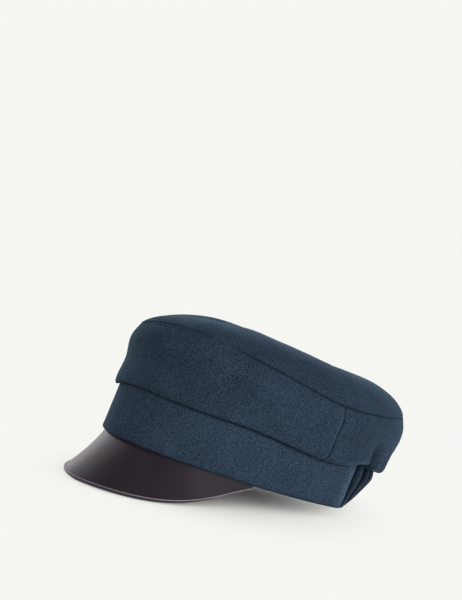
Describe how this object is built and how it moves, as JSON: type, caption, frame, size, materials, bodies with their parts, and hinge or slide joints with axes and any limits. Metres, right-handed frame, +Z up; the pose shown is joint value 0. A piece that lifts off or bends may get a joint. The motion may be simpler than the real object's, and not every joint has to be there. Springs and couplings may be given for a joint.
{
  "type": "baker boy cap",
  "caption": "Soft peaked cap with a domed top panel, a smooth band, an elastic-gathered back and a short curved leather peak, worn on the head.",
  "frame": {"origin": "on the surface that the cap rests on, under the middle of its box", "axes": "-Y the way the peak points, +X the wearer's left, +Z up"},
  "size_m": [0.1804, 0.2512, 0.1166],
  "materials": {
    "crown_wool": "felted wool, dark teal navy, matt with a short fuzzy nap",
    "band_wool": "felted wool, dark teal navy, matt, topstitched in the same colour",
    "peak_leather": "smooth dark aubergine leather, soft gloss"
  },
  "bodies": {
    "root": {"crown_top": "crown_wool", "crown_front": "crown_wool", "crown_back": "crown_wool", "band_front": "band_wool", "band_back": "band_wool", "peak": "peak_leather"}
  },
  "joints": []
}
